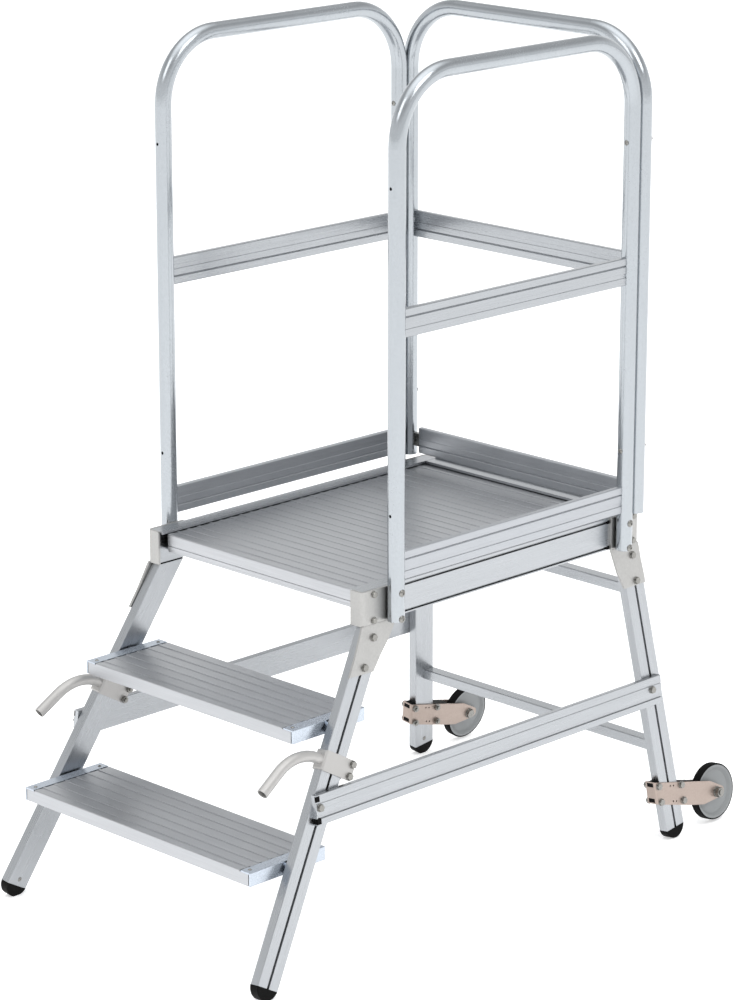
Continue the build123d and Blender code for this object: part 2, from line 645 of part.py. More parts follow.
def tread_cap(spec):
    """Right-hand end cap: a flange on top of the tread and a wall beside it."""
    half = spec["half"]
    bottom = spec["top"] - TREAD_HEIGHT
    y_range = (spec["front"], spec["rear"])
    cap = span_box((half - CAP_WIDTH, half), y_range, (bottom, spec["top"]))
    inside = half - CAP_SHEET
    cap -= span_box((0, inside), (-900, 900), (bottom - 1, spec["top"] - CAP_SHEET))
    outer_edge = cap.edges().filter_by(Axis.Y).sort_by_distance((half, spec["front"], spec["top"]))[0]
    cap = fillet(outer_edge, 1.5)
    for x, y in cap_screw_places(spec):
        cap -= Pos(x, y, spec["top"]) * Cylinder(2.2, 14)
    for x, y, z in tread_bolt_places():
        cap -= Pos(x, y, z) * Rot(0, 90, 0) * Cylinder(M6 + HOLE_GAP, 30)
    return cap


def tread_bolt_places():
    """Points where the right-hand tread bolts cross the legs' inner face."""
    places = []
    for spec in (UPPER_TREAD, LOWER_TREAD):
        height = spec["top"] - 14
        y, v = FRONT_LEG.centre_at(height)
        for offset in (-16, 16):
            places.append((leg_inner_x(height), y + offset, height))
    return places


def tread_wedges():
    """Pads between the end caps' upright walls and the leaning legs."""
    wedges = []
    for spec in (UPPER_TREAD, LOWER_TREAD):
        low = spec["top"] - 25
        high = spec["top"] - 3
        wall_x = spec["half"] + FIT
        y, v = FRONT_LEG.centre_at(spec["top"] - 14)
        section = Polygon(
            (wall_x, low), (leg_inner_x(low) - FIT, low), (leg_inner_x(high) - FIT, high),
            (wall_x, high), align=None)
        plane = Plane(origin=(0, y + 24, 0), x_dir=(1, 0, 0), z_dir=(0, -1, 0))
        wedges.append(extrude(plane * section, 48))
    for place in tread_bolt_places():
        hole = Pos(*place) * Rot(0, 90, 0) * Cylinder(M6 + HOLE_GAP, 30)
        wedges = [wedge - hole for wedge in wedges]
    return wedges


def tread_bolts():
    """Screws from inside each tread through cap and wedge into the leg."""
    bolts = []
    for index, (x, y, z) in enumerate(tread_bolt_places()):
        spec = UPPER_TREAD if index < 2 else LOWER_TREAD
        head_x = spec["half"] - CAP_SHEET - FIT
        bolt = hex_bolt(x - head_x + 9, M6, 10.0, 4.0)
        bolts.append(Pos(head_x, y, z) * Rot(0, -90, 0) * bolt)
    return bolts


def cap_screws():
    """Pan-head screws that hold the right-hand end caps' flanges down."""
    screws = []
    for spec in (UPPER_TREAD, LOWER_TREAD):
        for x, y in cap_screw_places(spec):
            screw = dome_head(4.0, 2.0, 1.4) + Cylinder(2.0, 9, align=TOP)
            screws.append(Pos(x, y, spec["top"] + FIT) * screw)
    return screws


# ---------------------------------------------------------------- braces and cross members
def side_brace():
    """Right-hand brace along the legs' outer faces."""
    middle = BRACE_BOTTOM_V + BRACE_HEIGHT / 2
    section = hollow_section(BRACE_HEIGHT, BRACE_THICKNESS, 2.0, [(-14, 7, 3.5, 0), (13, 2, 1.2, 0)])
    plane = Plane(
        origin=(BRACE_REAR_Y, middle, BRACE_THICKNESS + FIT), x_dir=(0, 1, 0), z_dir=(-1, 0, 0))
    brace = extrude(plane * section, BRACE_REAR_Y - BRACE_FRONT_Y)
    end_wall = Box(3, BRACE_HEIGHT - 3, BRACE_THICKNESS - 3, align=(Align.MIN, Align.CENTER, Align.CENTER))
    brace += Pos(BRACE_FRONT_Y, middle, BRACE_THICKNESS / 2 + FIT) * end_wall
    for line in LEGS.values():
        y, v = brace_bolt_place(line)
        brace -= Pos(y, v, 0) * Cylinder(M8 + HOLE_GAP, 60)
    for y, v, depth in brace_plug_places():
        pocket = Box(BRACE_PLUG_LENGTH + 1, BRACE_PLUG_HEIGHT + 2 * FIT, depth + 1, align=TOP)
        brace -= Pos(y - 0.5 + FIT, v, BRACE_THICKNESS + FIT + 1) * pocket
    return on_side(brace)


def brace_bolts():
    """Hex bolts of the right-hand brace and the nuts inside the legs."""
    bolts = []
    nuts = []
    for line in LEGS.values():
        y, v = brace_bolt_place(line)
        length = BRACE_THICKNESS + LEG_WALL + NUT_HEIGHT + 3
        bolts.append(on_side(Pos(y, v, BRACE_THICKNESS + 2 * FIT) * hex_bolt(length)))
        nuts.append(on_side(Pos(y, v, -LEG_WALL - FIT) * Rot(0, 0, -line.lean) * hex_nut()))
    return bolts, nuts


CROSS_DEPTH = 30.0
CROSS_HEIGHT = 21.0
CROSS_MEMBER_Z = {"upper": 545.0, "lower": 198.0}


def cross_member(height):
    """Flat hollow bar between the rear legs, flush with their rear edges."""
    y, v = REAR_LEG.centre_at(height)
    rear = y + LEG_WIDTH / 2 / REAR_LEG.cosine
    section = Pos(rear - CROSS_DEPTH / 2, height) * (
        RectangleRounded(CROSS_DEPTH, CROSS_HEIGHT, 1.5) - Rectangle(CROSS_DEPTH - 5, CROSS_HEIGHT - 5))
    section -= Pos(rear - CROSS_DEPTH + 2.4, height + CROSS_HEIGHT / 2) * Rectangle(1.4, 2.4)
    bar = across(section, 400)
    outside = Pos(0, 0, -LEG_THICKNESS - FIT) * Box(3000, 3000, 1000, align=BOTTOM)
    bar -= on_side(outside)
    bar -= on_left(on_side(outside))
    return bar


# ---------------------------------------------------------------- groove plugs
def beam_plug_places():
    """Points (y, z) of the square plugs at the rear ends of the beam's grooves."""
    return [(REAR_BRACKET_FRONT_Y - 4.5, z) for z in BEAM_GROOVES]


BRACE_PLUG_LENGTH = 10.0
BRACE_PLUG_HEIGHT = 11.0


def brace_plug_places():
    """Middles (y, v) and depths of the plugs in the brace's front end; the lower one goes right through."""
    y = BRACE_FRONT_Y + BRACE_PLUG_LENGTH / 2
    low = BRACE_BOTTOM_V + 8
    high = BRACE_BOTTOM_V + BRACE_HEIGHT - 8
    return [(y, low, BRACE_THICKNESS), (y, high, 3.5)]


def groove_plugs():
    """Small black plugs in the right-hand beam's, brace's and legs' grooves."""
    plugs = []
    for y, z in beam_plug_places():
        plug = span_box((BEAM_OUTER_X - GROOVE_DEPTH + FIT, BEAM_OUTER_X + 0.6), (y - 3.4, y + 3.4),
                        (z - 3.4, z + 3.4))
        plugs.append(plug)
    for y, v, depth in brace_plug_places():
        plug = Box(BRACE_PLUG_LENGTH, BRACE_PLUG_HEIGHT, depth - FIT, align=TOP)
        plugs.append(on_side(Pos(y, v, BRACE_THICKNESS + 2 * FIT) * plug))
    front_stops = [HANDLE_LOW - 4, foot_cut(FRONT_LEG) + 400]
    for t in front_stops:
        stop = FRONT_LEG.frame(0, t, -GROOVE_DEPTH / 2 + FIT)
        plugs.append(on_side(stop * Box(GROOVE_WIDTH - 2 * FIT, 7, GROOVE_DEPTH)))
    return plugs


# ---------------------------------------------------------------- lift handles
CLAMP_BOLT_U = 44.0
CLAMP_BOLT_T = (460.0, 484.0)


def lift_handle():
    """Right-hand lift handle: a bent tube welded to a strap that clamps round the front leg."""
    front = -LEG_WIDTH / 2 - FIT - CLAMP_SHEET
    rear = CLAMP_BOLT_U + 7
    height = HANDLE_HIGH - HANDLE_LOW
    middle = Pos((front + rear) / 2 + 20, 0, -LEG_THICKNESS / 2)
    length = rear - front + 40
    strap = middle * Box(length, height, CLAMP_THICKNESS)
    strap = fillet(strap.edges().filter_by(Axis.Y).group_by(Axis.X)[0], CLAMP_SHEET + 1)
    pocket = Pos(-LEG_WIDTH / 2 - FIT, 0, -LEG_THICKNESS / 2)
    strap -= pocket * Box(200, 2 * height, LEG_THICKNESS + 2 * FIT, align=(
        Align.MIN, Align.CENTER, Align.CENTER))
    outline = Pos((front + rear) / 2, 0) * RectangleRounded(rear - front, height, 4)
    strap &= Pos(0, 0, -60) * extrude(outline, 120)
    strap = FRONT_LEG.frame(0, (HANDLE_LOW + HANDLE_HIGH) / 2) * strap
    for t in CLAMP_BOLT_T:
        strap -= FRONT_LEG.frame(CLAMP_BOLT_U, t) * Cylinder(M8 + HOLE_GAP, 100)
    tube = handle_tube(front)
    return on_side(strap + tube)


def handle_tube(front):
    """Handle tube: rises square to the leg, bends over and droops forwards to an open end."""
    y, v = FRONT_LEG.point(front + 1, (HANDLE_LOW + HANDLE_HIGH) / 2)
    start_angle = 180 - FRONT_LEG_LEAN
    with BuildLine() as path:
        stub = PolarLine((y, v), 5, start_angle)
        bend = TangentArc(stub @ 1, droop_point(stub @ 1), tangent=stub % 1)
        PolarLine(bend @ 1, HANDLE_GRIP, 180 + HANDLE_DROOP)
    ring = Circle(HANDLE_RADIUS) - Circle(HANDLE_RADIUS - 2)
    direction = (math.cos(math.radians(start_angle)), math.sin(math.radians(start_angle)), 0)
    section = Plane(origin=(y, v, 0), z_dir=direction) * ring
    return Pos(0, 0, -LEG_THICKNESS / 2) * sweep(section, path=path.wire())


def droop_point(start):
    """End of the handle's bend, turning from the rise to the droop at the bend radius."""
    rise = math.radians(FRONT_LEG_LEAN)
    droop = math.radians(HANDLE_DROOP)
    forwards = HANDLE_BEND * (math.sin(rise) + math.sin(droop))
    upwards = HANDLE_BEND * (math.cos(droop) - math.cos(rise))
    return start.X - forwards, start.Y + upwards


def clamp_bolt(y, v):
    """Bolt and nut across a clamp that wraps a leg."""
    outside = CLAMP_SHEET + 2 * FIT
    inside = -LEG_THICKNESS - CLAMP_SHEET - 2 * FIT
    bolt = Pos(y, v, outside) * hex_bolt(outside - inside + NUT_HEIGHT + 3)
    nut = Pos(y, v, inside) * hex_nut()
    return on_side(bolt), on_side(nut)


WHEEL_CLAMP_BOLTS = [(738, 126), (742, 91), (809, 112), (813, 77)]
CLAMP_THICKNESS = LEG_THICKNESS + 2 * FIT + 2 * CLAMP_SHEET


def clamp_bolts():
    """All the bolts and nuts of the right-hand handle clamp and wheel bracket."""
    places = [FRONT_LEG.point(CLAMP_BOLT_U, t) for t in CLAMP_BOLT_T] + WHEEL_CLAMP_BOLTS
    pairs = [clamp_bolt(y, v) for y, v in places]
    return [bolt for bolt, nut in pairs], [nut for bolt, nut in pairs]


# ---------------------------------------------------------------- wheels
BRACKET_TOP = [(725, 137.4), (903, 95.6)]
BRACKET_BOTTOM = [(728, 89.5), (833, 61), (878, 50.5)]
BRACKET_TIP = (933.0, 66.0)
BRACKET_TIP_RADIUS = 12.0
BRACKET_LEAN = 3.6              # the fold in front of the leg leans back with the leg
BRACKET_FOLD = (728.5, 113.0)   # middle of the fold's front face
BRACKET_PILOT_HOLES = [(775, 118), (785, 116), (781, 83), (791, 80.5)]
PAD_HEIGHT = 9.0
PAD_OFFSETS = (17.0, -17.0)     # pads above and below the middle of the fold


def tangent_point(point, upper):
    """Where a line from a point touches the bracket's round end, on its upper or lower side."""
    tip_y, tip_v = BRACKET_TIP
    dy = tip_y - point[0]
    dv = tip_v - point[1]
    distance = math.hypot(dy, dv)
    spread = math.acos(BRACKET_TIP_RADIUS / distance)
    angle = math.atan2(-dv, -dy) + (-spread if upper else spread)
    return tip_y + BRACKET_TIP_RADIUS * math.cos(angle), tip_v + BRACKET_TIP_RADIUS * math.sin(angle)


def at_fold(shape):
    """Place a shape on the middle of the fold's front face: x backwards, y up the fold, z outwards."""
    return Location((*BRACKET_FOLD, -LEG_THICKNESS / 2), (0, 0, BRACKET_LEAN)) * shape


def wheel_bracket():
    """Right-hand wheel bracket: one folded sheet round the front of the rear leg, open behind."""
    top_touch = tangent_point(BRACKET_TOP[-1], True)
    bottom_touch = tangent_point(BRACKET_BOTTOM[-1], False)
    tip = (BRACKET_TIP[0] + BRACKET_TIP_RADIUS, BRACKET_TIP[1])
    with BuildSketch() as outline:
        with BuildLine():
            Polyline(bottom_touch, *reversed(BRACKET_BOTTOM), *BRACKET_TOP, top_touch)
            ThreePointArc(top_touch, tip, bottom_touch)
        make_face()
    centred = (Align.MIN, Align.CENTER, Align.CENTER)
    folded = Box(300, 300, CLAMP_THICKNESS, align=centred)
    folded = fillet(folded.edges().filter_by(Axis.Y).group_by(Axis.X)[0], CLAMP_SHEET + 1)
    folded -= Pos(CLAMP_SHEET, 0, 0) * Box(400, 400, LEG_THICKNESS + 2 * FIT, align=centred)
    for offset in PAD_OFFSETS:
        folded -= Pos(0, offset, 0) * Box(3 * CLAMP_SHEET, PAD_HEIGHT + 2 * FIT, LEG_THICKNESS - 4)
    bracket = at_fold(folded) & Pos(0, 0, -60) * extrude(outline.sketch, 120)
    for y, v in WHEEL_CLAMP_BOLTS:
        bracket -= Pos(y, v, 0) * Cylinder(M8 + HOLE_GAP, 100)
    for y, v in BRACKET_PILOT_HOLES:
        bracket -= Pos(y, v, 0) * Cylinder(2.0, 100)
    bracket -= Pos(AXLE_Y, AXLE_V, 0) * Cylinder(AXLE_RADIUS + 0.1, 100)
    return on_side(bracket)


def wheel_pads():
    """Black pads between the right-hand bracket's plates: two in front of the leg, one behind it."""
    pads = []
    leg_face = REAR_LEG.frame(-LEG_WIDTH / 2 - FIT, 100, -LEG_THICKNESS / 2)
    leg_space = leg_face * Box(200, 400, 60, align=(Align.MIN, Align.CENTER, Align.CENTER))
    centred = (Align.MIN, Align.CENTER, Align.CENTER)
    for offset in PAD_OFFSETS:
        pad = Pos(CLAMP_SHEET + FIT, offset, 0) * Box(30, PAD_HEIGHT, LEG_THICKNESS, align=centred)
        pad += Pos(0.4, offset, 0) * Box(10, PAD_HEIGHT, LEG_THICKNESS - 4 - 2 * FIT, align=centred)
        pads.append(at_fold(pad) - leg_space)
    behind = REAR_LEG.frame(LEG_WIDTH / 2 + FIT, 100, -LEG_THICKNESS / 2)
    spacer = behind * Box(200, 400, LEG_THICKNESS, align=(Align.MIN, Align.CENTER, Align.CENTER))
    spacer &= Pos(0, 0, -LEG_THICKNESS / 2) * extrude(
        Polygon((780, 126), (850, 109), (850, 86), (780, 102), align=None), LEG_THICKNESS / 2, both=True)
    pads.append(spacer)
    for y, v in WHEEL_CLAMP_BOLTS:
        hole = Pos(y, v, 0) * Cylinder(M8 + HOLE_GAP, 100)
        pads = [pad - hole for pad in pads]
    return [on_side(pad) for pad in pads]


def at_axle(shape):
    """Place a shape turned about z at the right-hand axle, centred between the bracket's plates."""
    return on_side(Pos(AXLE_Y, AXLE_V, -LEG_THICKNESS / 2) * shape)


def turned(points):
    """Ring made by turning a closed outline of (radius, along-axis) points round z."""
    return revolve(Plane.XZ * Polygon(*points, align=None), Axis.Z)


def tyre():
    """Solid rubber tyre."""
    ring = Cylinder(WHEEL_RADIUS, WHEEL_WIDTH) - Cylinder(RIM_RADIUS, 2 * WHEEL_WIDTH)
    ring = fillet(ring.edges().filter_by(GeomType.CIRCLE).group_by(SortBy.RADIUS)[-1], 2)
    return at_axle(ring)


def rim():
    """Moulded wheel centre: a lipped edge, a dished web and a hub."""
    half = WHEEL_WIDTH / 2
    edge = RIM_RADIUS - 0.1
    points = [(8.05, -half), (15, -half), (18, -4.5), (47, -3.0), (53, -half + 0.8), (edge, -half + 0.3),
              (edge, half - 0.3), (53, half - 0.8), (47, 3.0), (18, 4.5), (15, half), (8.05, half)]
    return at_axle(turned(points))


def wheel_bush():
    """Plain steel bush pressed in the hub, with a flange each side to keep the wheel off the plates."""
    half = WHEEL_WIDTH / 2
    sleeve = Cylinder(8.0, WHEEL_WIDTH + 2 * FIT) - Cylinder(AXLE_RADIUS + RUNNING_GAP, 100)
    flange = Cylinder(10.5, 0.8) - Cylinder(AXLE_RADIUS + RUNNING_GAP, 100)
    for side in (-1, 1):
        sleeve += Pos(0, 0, side * (half + FIT + 0.4)) * flange
    return at_axle(sleeve)


def axle_bolt():
    """Hex-headed axle bolt, headed inside and nutted outside."""
    reach = LEG_THICKNESS / 2 + CLAMP_SHEET + 2 * FIT
    bolt = hex_bolt(2 * reach + 14, AXLE_RADIUS, 19.0, 7.5)
    return at_axle(Pos(0, 0, -reach) * Rot(180, 0, 0) * bolt)


def axle_nut():
    """Lock nut on a washer, outside the bracket."""
    reach = LEG_THICKNESS / 2 + CLAMP_SHEET + 2 * FIT
    washer = Cylinder(12, 1.6, align=BOTTOM) - Cylinder(AXLE_RADIUS + FIT, 20)
    nut = Pos(0, 0, 11.5) * hex_nut(AXLE_RADIUS, 19.0, 10.0)
    return at_axle(Pos(0, 0, reach) * (washer + nut))


# ---------------------------------------------------------------- the whole object
def build_nodes():
    """Every node of the object by name, still in the layout frame."""
    nodes = {}

    def add_pair(name, shape):
        nodes[name + "_right"] = shape
        nodes[name + "_left"] = on_left(shape)

    for end in LEGS:
        add_pair("leg_" + end, leg(end))
        add_pair("foot_" + end, foot(end))
        add_pair("corner_bracket_" + end, corner_bracket(end))
    add_pair("side_beam", side_beam())
    add_pair("side_brace", side_brace())
    add_pair("guardrail", side_guardrail())
    add_pair("mid_rail", side_board(MID_RAIL_Z))
    add_pair("toe_board", side_board(TOE_BOARD_Z))
    add_pair("lift_handle", lift_handle())
    add_pair("wheel_bracket", wheel_bracket())
    add_pair("tyre", tyre())
    add_pair("wheel_rim", rim())
    add_pair("wheel_bush", wheel_bush())
    add_pair("axle_bolt", axle_bolt())

    nodes["rear_beam"] = rear_beam()
    nodes["deck_nosing"] = deck_nosing()
    nodes["deck_planks"] = group(deck_planks())
    nodes["deck_filler"] = deck_filler()
    nodes["guardrail_rear"] = rear_guardrail()
    nodes["mid_rail_rear"] = rear_board(MID_RAIL_Z, REAR_GUARD_X)
    nodes["toe_board_rear"] = rear_board(TOE_BOARD_Z, REAR_TOE_BOARD_HALF)
    nodes["toe_board_clips"] = group(toe_board_clips())
    nodes["tread_upper"] = tread_body(UPPER_TREAD)
    nodes["tread_lower"] = tread_body(LOWER_TREAD)
    nodes["tread_caps_upper"] = group(both_sides([tread_cap(UPPER_TREAD)]))
    nodes["tread_caps_lower"] = group(both_sides([tread_cap(LOWER_TREAD)]))
    nodes["tread_wedges"] = group(both_sides(tread_wedges()))
    for name, height in CROSS_MEMBER_Z.items():
        nodes["cross_member_" + name] = cross_member(height)
    plugs = groove_plugs() + [leg_top_plug(end) for end in LEGS] + wheel_pads()
    nodes["profile_plugs"] = group(both_sides(plugs))

    post_bolt_list, post_nuts = post_bolts()
    bracket_bolt_list, bracket_nuts = bracket_bolts()
    brace_bolt_list, brace_nuts = brace_bolts()
    clamp_bolt_list, clamp_nuts = clamp_bolts()
    nodes["guardrail_bolts"] = group(both_sides(post_bolt_list))
    nodes["bracket_bolts"] = group(both_sides(bracket_bolt_list))
    nodes["brace_bolts"] = group(both_sides(brace_bolt_list))
    nodes["clamp_bolts"] = group(both_sides(clamp_bolt_list))
    nodes["hex_nuts"] = group(both_sides(post_nuts + bracket_nuts + brace_nuts + clamp_nuts))
    nodes["joining_screws"] = group(both_sides(joining_screws()))
    nodes["tread_bolts"] = group(both_sides(tread_bolts()))
    nodes["cap_screws"] = group(both_sides(cap_screws()))
    nodes["foot_rivets"] = group(both_sides(foot_rivets()))
    nodes["axle_nuts"] = group(both_sides([axle_nut()]))
    return nodes


# The finished frame has its origin on the floor, under the middle of the whole object.
NODES = build_nodes()
FRONT_MOST = min(shape.bounding_box().min.Y for shape in NODES.values())
REAR_MOST = max(shape.bounding_box().max.Y for shape in NODES.values())
TO_CENTRE = Pos(0, -(FRONT_MOST + REAR_MOST) / 2, 0)

for node_name, node_shape in NODES.items():
    export_step(TO_CENTRE * node_shape, "parts/" + node_name + ".step")
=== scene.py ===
import math

import bpy
import numpy as np
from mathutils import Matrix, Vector

# Looks, light and camera for the rolling step platform. Every shape is a CAD node; this script
# gives each one a procedural material that follows the way the real piece is made.

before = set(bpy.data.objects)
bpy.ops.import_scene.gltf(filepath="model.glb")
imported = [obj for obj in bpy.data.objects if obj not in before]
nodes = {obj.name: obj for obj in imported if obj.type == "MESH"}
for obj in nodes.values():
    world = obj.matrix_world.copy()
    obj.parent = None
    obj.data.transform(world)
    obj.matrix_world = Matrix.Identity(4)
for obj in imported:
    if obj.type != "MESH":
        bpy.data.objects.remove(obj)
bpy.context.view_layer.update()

# ---------------------------------------------------------------- camera, from the fitted view
CAMERA_AZIMUTH = math.radians(44.889)
CAMERA_ELEVATION = math.radians(16.088)
CAMERA_DISTANCE = 7.2341
CAMERA_LENS = 129.70            # millimetres, as is the sensor
SENSOR = 36.0
CAMERA_REACH = 200.0            # metres, past the floor's far edge
LOOK_AT = Vector((0.0232, -0.0557, 0.7838))

# ---------------------------------------------------------------- finishes
# Each metal is (linear colour, roughness, streak strength, metallic share, darkest painted shade in
# its crevices).
PROFILE_METAL = ((0.44, 0.455, 0.475), 0.28, 0.06, 1.0, 0.12)
BOARD_METAL = ((0.42, 0.435, 0.455), 0.25, 0.06, 1.0, 0.30)
TOE_BOARD_METAL = ((0.455, 0.47, 0.495), 0.36, 0.06, 1.0, 0.30)
TUBE_METAL = ((0.425, 0.45, 0.475), 0.20, 0.04, 1.0, 0.40)
DECK_METAL = ((0.51, 0.52, 0.54), 0.34, 0.09, 1.0, 0.50)
TREAD_METAL = ((0.49, 0.50, 0.52), 0.34, 0.09, 1.0, 0.30)
CAP_METAL = ((0.53, 0.58, 0.65), 0.27, 0.05, 1.0, 0.20)
BRACKET_METAL = ((0.455, 0.45, 0.44), 0.42, 0.05, 0.9, 0.40)
WHEEL_BRACKET_METAL = ((0.425, 0.35, 0.31), 0.40, 0.05, 0.85, 0.40)
FASTENER_METAL = ((0.29, 0.285, 0.27), 0.26, 0.06, 1.0, 0.40)
PAINTED_SHADE_REACH = 0.010           # how far from a face its neighbours paint shade on it, in metres
PAINTED_SHADE_SPAN = (0.12, 0.52)     # openness at which the painted shade is darkest, and at which it ends
EDGE_SPAN = (0.98, 0.80)        # agreement of rounded and true normals on a face, and at an edge
NOISE_SPAN = (0.3, 0.7)         # the part of a noise's range that its values fill
METAL_EDGE = 0.0009             # radius of each finish's rounded edges and edge band, in metres: a painted highlight on metal, wear on coating and dust on plastic
MOULDED_EDGE = 0.0012
COATED_EDGE = 0.0010
STREAK_SCALES = (900.0, 9.0)    # noise per metre across and along the lines of a drawn surface
SATIN_SCALES = (260.0, 200.0)   # the same where there are hardly any lines
BROAD_SCALES = (60.0, 2.5)      # the same for the wide faint bands
CLOUD_SCALE = 9.0               # noise per metre of the mottling
CLOUD_TONE = 0.96               # the darkest mottling's share of the colour
METAL_BUMP = 0.00002            # bump depths, in metres
COATED_BUMP = 0.00003
MOULDED_SPECULAR = 0.08
COATED_METALLIC = 0.6
BEVEL_SAMPLES = 4
PAINTED_SHADE_SAMPLES = 8

HANDLE_COLOUR = (0.46, 0.45, 0.44)
# black of the plastic feet, also used on the profile plugs as painted shade at groove ends
BLACK_FOR_PLASTIC_AND_SHADE = (0.002, 0.002, 0.002)
RUBBER_BLACK = (0.003, 0.003, 0.003)
RIM_GREY = (0.27, 0.28, 0.285)


def new_material(name):
    """Empty node material; returns (material, node tree, principled shader)."""
    material = bpy.data.materials.new(name)
    material.use_nodes = True
    tree = material.node_tree
    tree.nodes.clear()
    output = tree.nodes.new("ShaderNodeOutputMaterial")
    shader = tree.nodes.new("ShaderNodeBsdfPrincipled")
    tree.links.new(shader.outputs["BSDF"], output.inputs["Surface"])
    return material, tree, shader


def noise(tree, vector, scale, detail=4.0, roughness=0.55):
    """Noise texture fed by a vector; returns its value output."""
    node = tree.nodes.new("ShaderNodeTexNoise")
    node.inputs["Scale"].default_value = scale
    node.inputs["Detail"].default_value = detail
    node.inputs["Roughness"].default_value = roughness
    tree.links.new(vector, node.inputs["Vector"])
    return node.outputs["Fac"]


def remap(tree, value, low, high, to_low, to_high):
    """Map Range from low..high to to_low..to_high, clamped."""
    node = tree.nodes.new("ShaderNodeMapRange")
    sockets = ("From Min", "From Max", "To Min", "To Max")
    for socket, number in zip(sockets, (low, high, to_low, to_high)):
        node.inputs[socket].default_value = number
    tree.links.new(value, node.inputs["Value"])
    return node.outputs["Result"]


def math_node(tree, operation, first, second):
    """Math node on two values, each a socket or a number."""
    node = tree.nodes.new("ShaderNodeMath")
    node.operation = operation
    for index, value in enumerate((first, second)):
        if isinstance(value, (int, float)):
            node.inputs[index].default_value = value
        else:
            tree.links.new(value, node.inputs[index])
    return node.outputs[0]


def mix_colours(tree, factor, first, second, blend="MIX"):
    """Mix two colours, each a socket or a tuple, by a factor socket or number."""
    node = tree.nodes.new("ShaderNodeMix")
    node.data_type = "RGBA"
    node.blend_type = blend
    for name, value in (("Factor_Float", factor), ("A_Color", first), ("B_Color", second)):
        socket = [s for s in node.inputs if s.identifier == name][0]
        if isinstance(value, bpy.types.NodeSocket):
            tree.links.new(value, socket)
        elif isinstance(value, tuple):
            socket.default_value = (*value, 1.0)
        else:
            socket.default_value = value
    return [s for s in node.outputs if s.identifier == "Result_Color"][0]


def object_vector(tree, rotation=(0.0, 0.0, 0.0), scale=(1.0, 1.0, 1.0)):
    """Object coordinates, turned and scaled: the row frame in metres before scaling."""
    coordinates = tree.nodes.new("ShaderNodeTexCoord")
    turn = tree.nodes.new("ShaderNodeMapping")
    turn.inputs["Rotation"].default_value = rotation
    tree.links.new(coordinates.outputs["Object"], turn.inputs["Vector"])
    stretch = tree.nodes.new("ShaderNodeMapping")
    stretch.inputs["Scale"].default_value = scale
    tree.links.new(turn.outputs["Vector"], stretch.inputs["Vector"])
    return stretch.outputs["Vector"]


def edge_mask(tree, radius):
    """1 near a solid's edges, 0 on its faces: how far a rounded normal strays from the true one."""
    bevel = tree.nodes.new("ShaderNodeBevel")
    bevel.samples = BEVEL_SAMPLES
    bevel.inputs["Radius"].default_value = radius
    geometry = tree.nodes.new("ShaderNodeNewGeometry")
    dot = tree.nodes.new("ShaderNodeVectorMath")
    dot.operation = "DOT_PRODUCT"
    tree.links.new(bevel.outputs["Normal"], dot.inputs[0])
    tree.links.new(geometry.outputs["Normal"], dot.inputs[1])
    return remap(tree, dot.outputs["Value"], *EDGE_SPAN, 0.0, 1.0), bevel.outputs["Normal"]


def painted_crevice_shade(tree, darkest):
    """Painted shade: 1 on open faces, falling to a darkest value deep in grooves and under bolt heads.
    """
    occlusion = tree.nodes.new("ShaderNodeAmbientOcclusion")
    occlusion.samples = PAINTED_SHADE_SAMPLES
    occlusion.inputs["Distance"].default_value = PAINTED_SHADE_REACH
    return remap(tree, occlusion.outputs["AO"], *PAINTED_SHADE_SPAN, darkest, 1.0)


def bump(tree, height, distance, normal, strength):
    """Bump from a height value on top of a normal, distance in metres."""
    node = tree.nodes.new("ShaderNodeBump")
    node.inputs["Strength"].default_value = strength
    node.inputs["Distance"].default_value = distance
    tree.links.new(height, node.inputs["Height"])
    tree.links.new(normal, node.inputs["Normal"])
    return node.outputs["Normal"]


def drawn_metal(name, metal, direction, streaks=True):
    """Satin metal: fine lines along a direction, mottling, painted shade in crevices and a painted
    highlight along edges.
    """
    colour, roughness, streak_strength, metallic, crevice_shade = metal
    material, tree, shader = new_material(name)
    turn = Vector(direction).to_track_quat("Z", "Y").inverted().to_euler()
    across, along = STREAK_SCALES if streaks else SATIN_SCALES
    lines = noise(tree, object_vector(tree, turn, (across, across, along)), 1.0, 3.0, 0.6)
    across, along = BROAD_SCALES
    broad = noise(tree, object_vector(tree, turn, (across, across, along)), 1.0, 3.0)
    cloud = noise(tree, object_vector(tree), CLOUD_SCALE, 5.0)
    edges, soft_normal = edge_mask(tree, METAL_EDGE)

    dark = tuple(channel * (1.0 - streak_strength) for channel in colour)
    shade = mix_colours(tree, remap(tree, lines, *NOISE_SPAN, 0.0, 1.0), dark, colour)
    tone = remap(tree, broad, *NOISE_SPAN, 1.0 - streak_strength * 0.6, 1.0)
    tone = math_node(tree, "MULTIPLY", tone, remap(tree, cloud, *NOISE_SPAN, CLOUD_TONE, 1.0))
    # painted shade: the colour darkens in grooves, gaps and under bolt heads
    tone = math_node(tree, "MULTIPLY", tone, painted_crevice_shade(tree, crevice_shade))
    combined = tree.nodes.new("ShaderNodeCombineColor")
    for channel in range(3):
        tree.links.new(tone, combined.inputs[channel])
    shade = mix_colours(tree, 1.0, shade, combined.outputs["Color"], "MULTIPLY")
    # painted highlight: the colour is lightened along every edge
    bright = tuple(min(1.0, channel * 1.12 + 0.02) for channel in colour)
    shade = mix_colours(tree, math_node(tree, "MULTIPLY", edges, 0.7), shade, bright)
    tree.links.new(shade, shader.inputs["Base Color"])

    rough = remap(tree, lines, *NOISE_SPAN, roughness + 0.06, roughness - 0.05)
    rough = math_node(tree, "ADD", rough, remap(tree, cloud, *NOISE_SPAN, -0.03, 0.05))
    tree.links.new(rough, shader.inputs["Roughness"])
    shader.inputs["Metallic"].default_value = metallic
    tree.links.new(bump(tree, lines, METAL_BUMP, soft_normal, 0.5), shader.inputs["Normal"])
    return material


